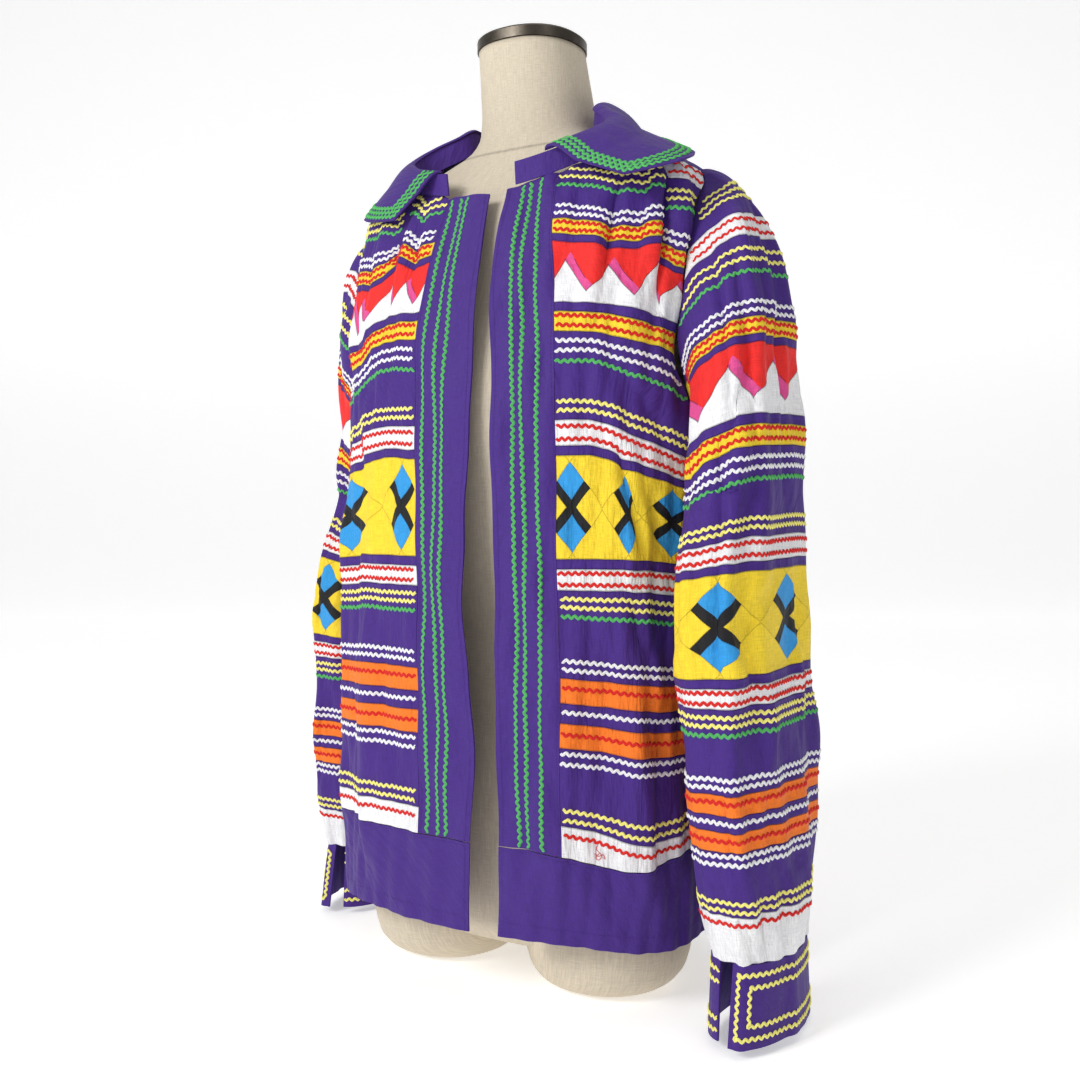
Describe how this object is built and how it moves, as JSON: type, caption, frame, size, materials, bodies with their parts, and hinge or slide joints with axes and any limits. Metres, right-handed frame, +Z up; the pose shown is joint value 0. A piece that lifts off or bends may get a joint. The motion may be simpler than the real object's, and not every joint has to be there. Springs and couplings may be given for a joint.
{
  "type": "patchwork jacket on a limbless dress form",
  "caption": "Open-front jacket of banded patchwork with a spread collar and loose cuffs, hanging on a limbless linen torso form.",
  "frame": {"origin": "on the floor under the centre of the whole object's box", "axes": "+Z up, the wearer faces -Y, +X towards the wearer's left"},
  "size_m": [0.4956, 0.2766, 0.7595],
  "materials": {
    "patchwork_cotton": "matte woven cotton in bands of purple, yellow, white, orange, red and blue",
    "plain_cotton": "matte plain-weave purple cotton",
    "form_linen": "matte beige linen over a hard torso",
    "cap_metal": "dark satin pewter",
    "trim_rickrack": "matte woven zigzag braid and sewing thread"
  },
  "bodies": {
    "root": {"back": "patchwork_cotton", "front_left": "patchwork_cotton", "front_right": "patchwork_cotton", "sleeve_left": "patchwork_cotton", "sleeve_right": "patchwork_cotton", "front_band_left": "plain_cotton", "front_band_right": "plain_cotton", "hem_band": "plain_cotton", "gusset_left": "plain_cotton", "gusset_right": "plain_cotton", "cuff_left": "plain_cotton", "cuff_right": "plain_cotton", "neckband": "plain_cotton", "collar": "plain_cotton", "form_torso": "form_linen", "form_neck_cap": "cap_metal"}
  },
  "joints": []
}
